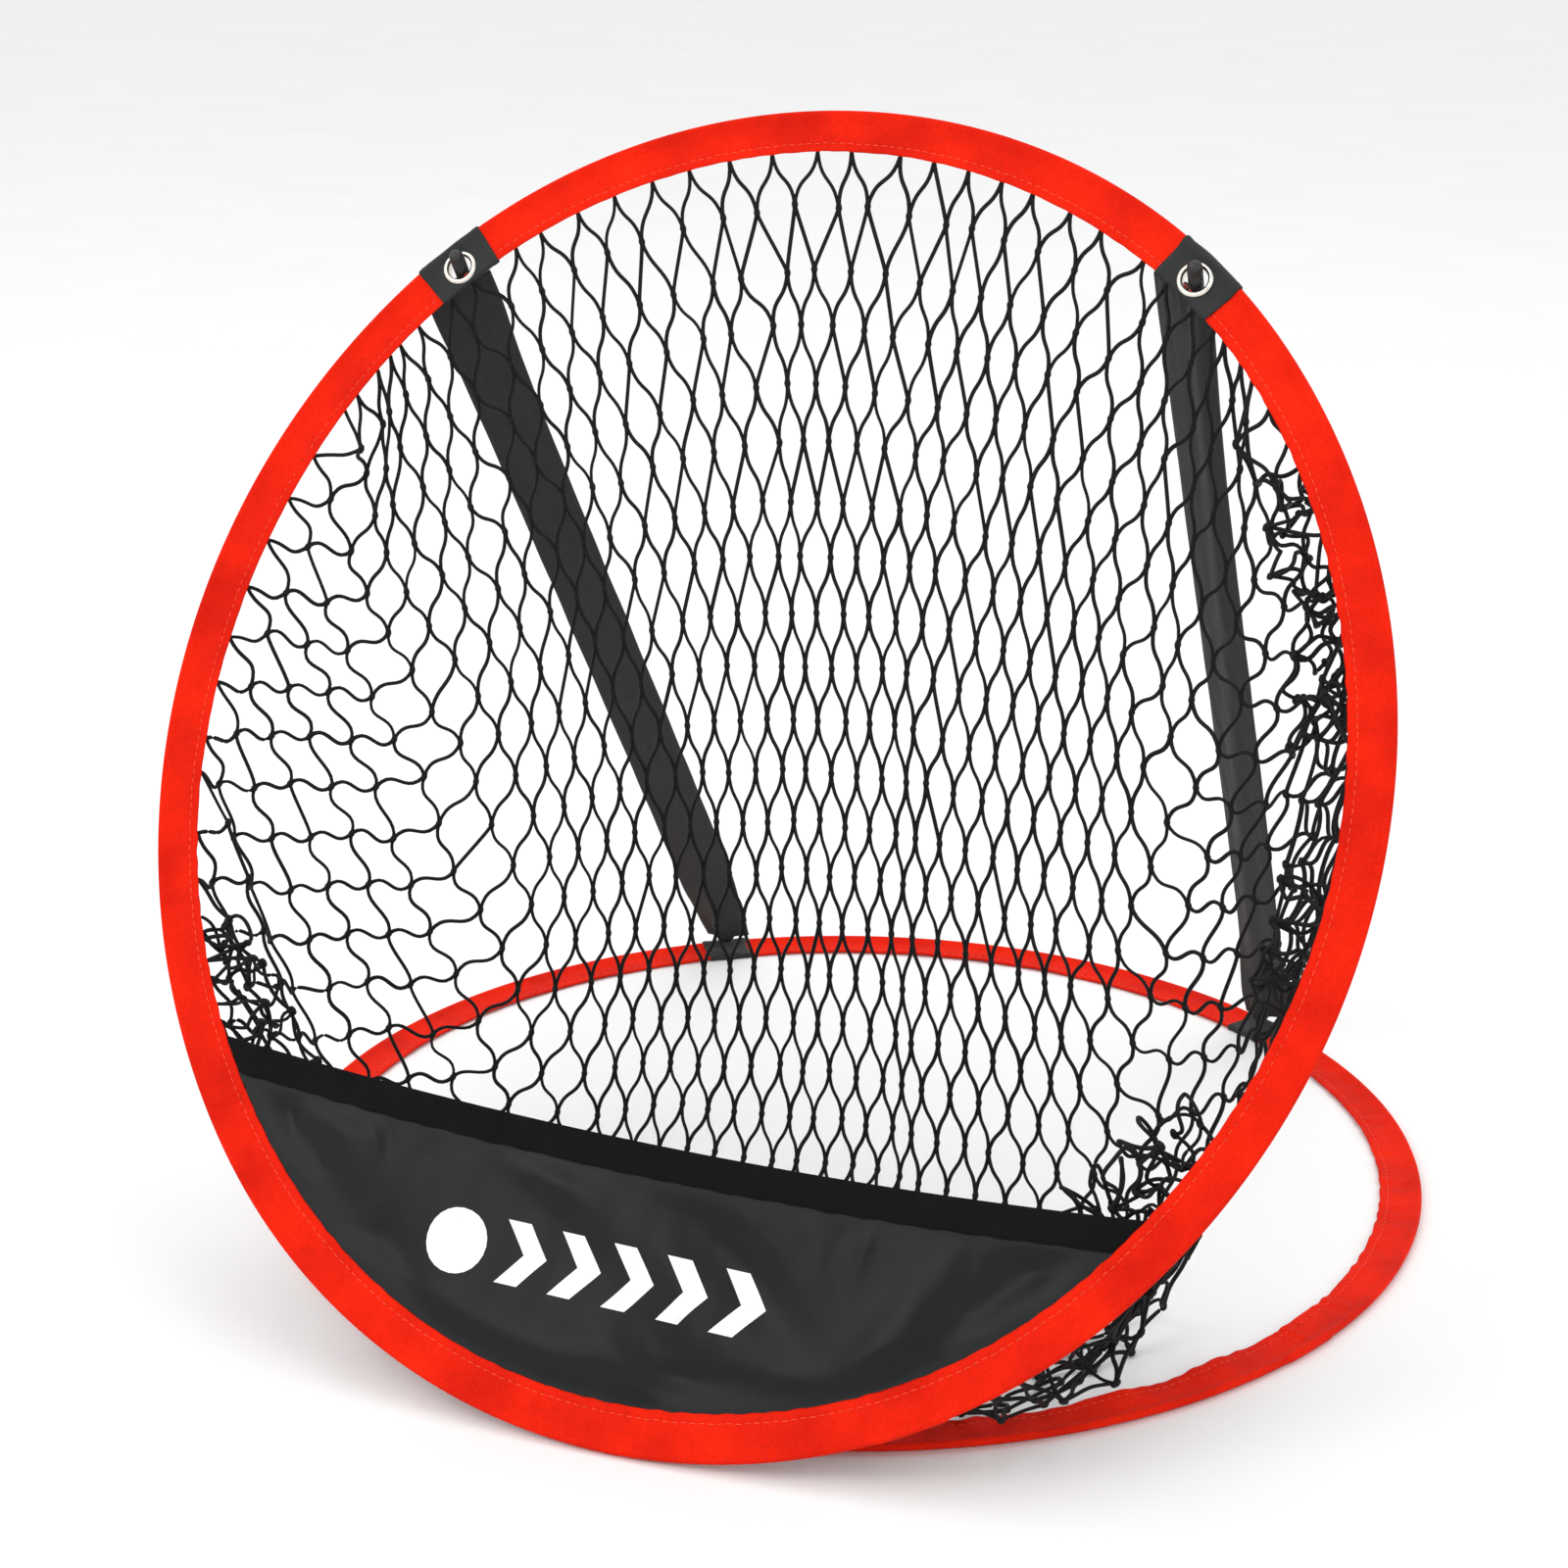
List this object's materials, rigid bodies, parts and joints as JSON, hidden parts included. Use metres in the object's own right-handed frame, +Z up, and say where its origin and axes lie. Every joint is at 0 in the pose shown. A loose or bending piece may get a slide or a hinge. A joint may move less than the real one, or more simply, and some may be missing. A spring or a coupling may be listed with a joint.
{
  "type": "golf chipping net",
  "caption": "Folding golf chipping net: a round target hoop with a hanging net bag and front panel leans over a round base hoop, propped by fabric-sleeved struts.",
  "frame": {"origin": "on the ground, in the middle of the footprint", "axes": "+Z up; -Y is the side the golfer faces and chips from; +X is the golfer's right"},
  "size_m": [0.483, 0.501, 0.4386],
  "materials": {
    "spring_steel": "oil-tempered spring wire, dull grey",
    "hoop_fabric": "bright orange-red woven polyester, low sheen",
    "black_fabric": "black woven nylon, soft sheen, creased",
    "panel_fabric": "black coated nylon, satin blue-black sheen, wrinkled",
    "hem_tape": "matte black grosgrain tape",
    "graphic_white": "white heat-transfer print",
    "net_twine": "black knotted nylon twine",
    "nickel": "nickel-plated, slightly warm",
    "rod_fibreglass": "black pultruded fibreglass",
    "cap_plastic": "black moulded plastic"
  },
  "bodies": {
    "base": {"base_hoop_wire": "spring_steel", "base_wire_ferrule": "spring_steel", "base_hoop_sleeve": "hoop_fabric", "hinge_strip": "hoop_fabric", "left_anchor_wrap": "black_fabric", "right_anchor_wrap": "black_fabric"},
    "target": {"target_hoop_wire": "spring_steel", "target_wire_ferrule": "spring_steel", "target_hoop_sleeve": "hoop_fabric", "front_panel": "panel_fabric", "panel_hem": "hem_tape", "panel_graphic": "graphic_white", "net_bag": "net_twine", "left_tab": "black_fabric", "right_tab": "black_fabric", "left_eyelet": "nickel", "right_eyelet": "nickel", "left_eyelet_washer": "nickel", "right_eyelet_washer": "nickel"},
    "left_strut": {"left_strut_rod": "rod_fibreglass", "left_strut_sleeve": "black_fabric", "left_strut_tip": "cap_plastic", "left_strut_foot": "cap_plastic"},
    "right_strut": {"right_strut_rod": "rod_fibreglass", "right_strut_sleeve": "black_fabric", "right_strut_tip": "cap_plastic", "right_strut_foot": "cap_plastic"}
  },
  "joints": [
    {"name": "target_fold", "type": "hinge", "parent": "base", "child": "target", "pos_m": [0, -0.2488, 0.0027], "axis": [-1, 0, 0], "range_deg": [0, 48], "deforming": ["net_bag"]},
    {"name": "left_strut_swing", "type": "hinge", "parent": "base", "child": "left_strut", "pos_m": [-0.13169, 0.20424, 0.00915], "axis": [-1, 0, 0], "range_deg": [0, 118]},
    {"name": "right_strut_swing", "type": "hinge", "parent": "base", "child": "right_strut", "pos_m": [0.14041, 0.19806, 0.00915], "axis": [-1, 0, 0], "range_deg": [0, 118]}
  ],
  "couplings": [
    {"joint": "left_strut_swing", "follows": "target_fold", "ratio": 2.45},
    {"joint": "right_strut_swing", "follows": "target_fold", "ratio": 2.45}
  ]
}
